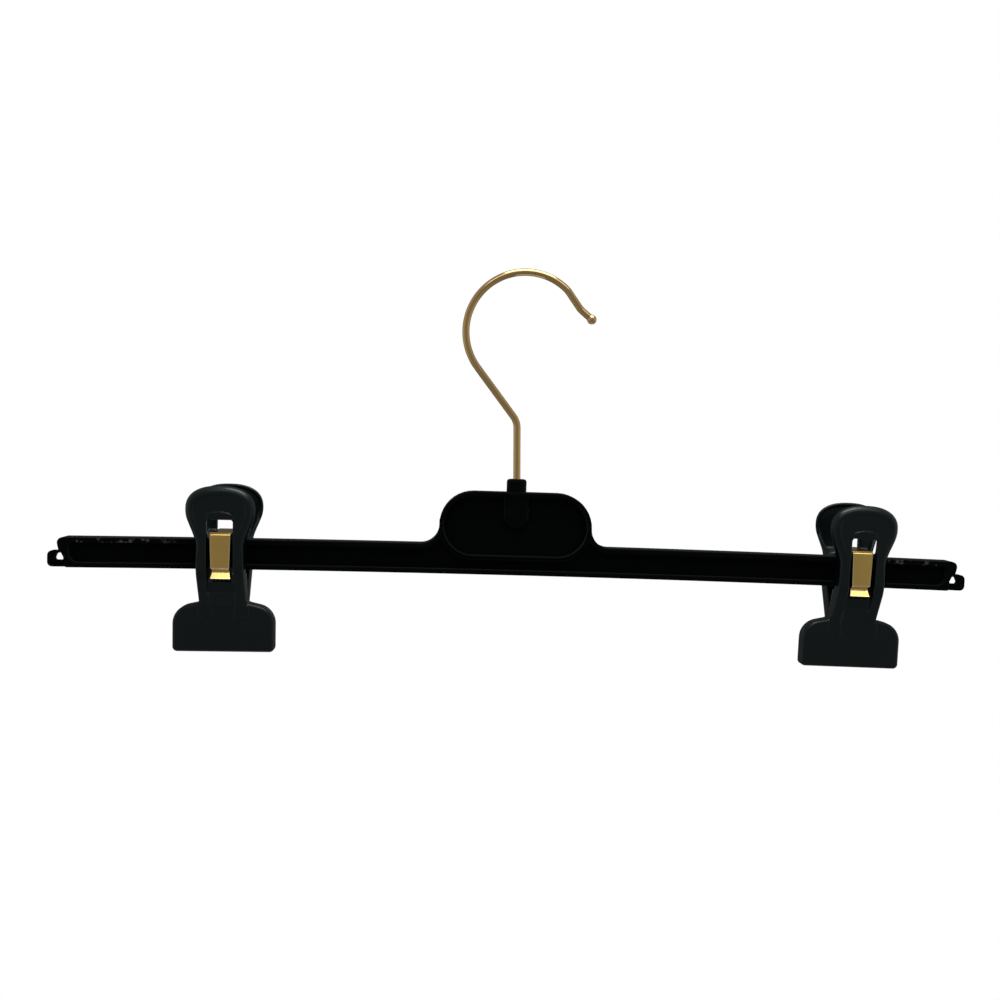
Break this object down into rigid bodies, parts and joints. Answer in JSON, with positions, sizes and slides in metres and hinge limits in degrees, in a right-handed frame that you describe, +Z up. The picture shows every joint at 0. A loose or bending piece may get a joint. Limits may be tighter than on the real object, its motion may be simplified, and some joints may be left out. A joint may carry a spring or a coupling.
{
  "type": "clip hanger",
  "caption": "Flocked bar hanger with a swivel wire hook and sliding spring clips that pinch a waistband or trouser hem.",
  "frame": {"origin": "top of the space inside the hook, where the hanger rests on a rail", "axes": "+X along the bar towards the hook's open side, +Y from the front to the back, +Z up"},
  "size_m": [0.38, 0.0256, 0.1611],
  "materials": {
    "flock": "black flock on moulded plastic",
    "gold": "satin gold plating on steel",
    "clip_plastic": "satin black moulded plastic"
  },
  "bodies": {
    "hook": {"hook": "gold"},
    "hanger_bar": {"hanger_bar": "flock"},
    "left_clip": {"left_spring": "gold"},
    "left_front_jaw": {"left_front_jaw": "clip_plastic"},
    "left_rear_jaw": {"left_rear_jaw": "clip_plastic"},
    "right_clip": {"right_spring": "gold"},
    "right_front_jaw": {"right_front_jaw": "clip_plastic"},
    "right_rear_jaw": {"right_rear_jaw": "clip_plastic"}
  },
  "joints": [
    {"name": "hook_swivel", "type": "hinge", "parent": "hook", "child": "hanger_bar", "pos_m": [-0.0015, 0, -0.0832], "axis": [0, 0, 1], "continuous": true},
    {"name": "left_clip_slide", "type": "slide", "parent": "hanger_bar", "child": "left_clip", "axis": [0.9999, 0, 0.0115], "range_m": [-0.053, 0.07]},
    {"name": "right_clip_slide", "type": "slide", "parent": "hanger_bar", "child": "right_clip", "axis": [0.9999, 0, -0.0138], "range_m": [-0.094, 0.029]},
    {"name": "left_front_jaw_pivot", "type": "hinge", "parent": "left_clip", "child": "left_front_jaw", "pos_m": [-0.12036, -0.006, -0.11228], "axis": [-0.9999, 0, -0.0115], "range_deg": [0, 15], "stiffness_Nm_per_rad": 0.8, "springref_deg": -2.86, "deforming": ["left_spring"]},
    {"name": "left_rear_jaw_pivot", "type": "hinge", "parent": "left_clip", "child": "left_rear_jaw", "pos_m": [-0.12036, 0.006, -0.11228], "axis": [0.9999, 0, 0.0115], "range_deg": [0, 15], "stiffness_Nm_per_rad": 0.8, "springref_deg": -2.86, "deforming": ["left_spring"]},
    {"name": "right_front_jaw_pivot", "type": "hinge", "parent": "right_clip", "child": "right_front_jaw", "pos_m": [0.14127, -0.006, -0.11259], "axis": [-0.9999, 0, 0.0138], "range_deg": [0, 15], "stiffness_Nm_per_rad": 0.8, "springref_deg": -2.86, "deforming": ["right_spring"]},
    {"name": "right_rear_jaw_pivot", "type": "hinge", "parent": "right_clip", "child": "right_rear_jaw", "pos_m": [0.14127, 0.006, -0.11259], "axis": [0.9999, 0, -0.0138], "range_deg": [0, 15], "stiffness_Nm_per_rad": 0.8, "springref_deg": -2.86, "deforming": ["right_spring"]}
  ],
  "couplings": [
    {"joint": "left_rear_jaw_pivot", "follows": "left_front_jaw_pivot", "ratio": 1},
    {"joint": "right_rear_jaw_pivot", "follows": "right_front_jaw_pivot", "ratio": 1}
  ]
}
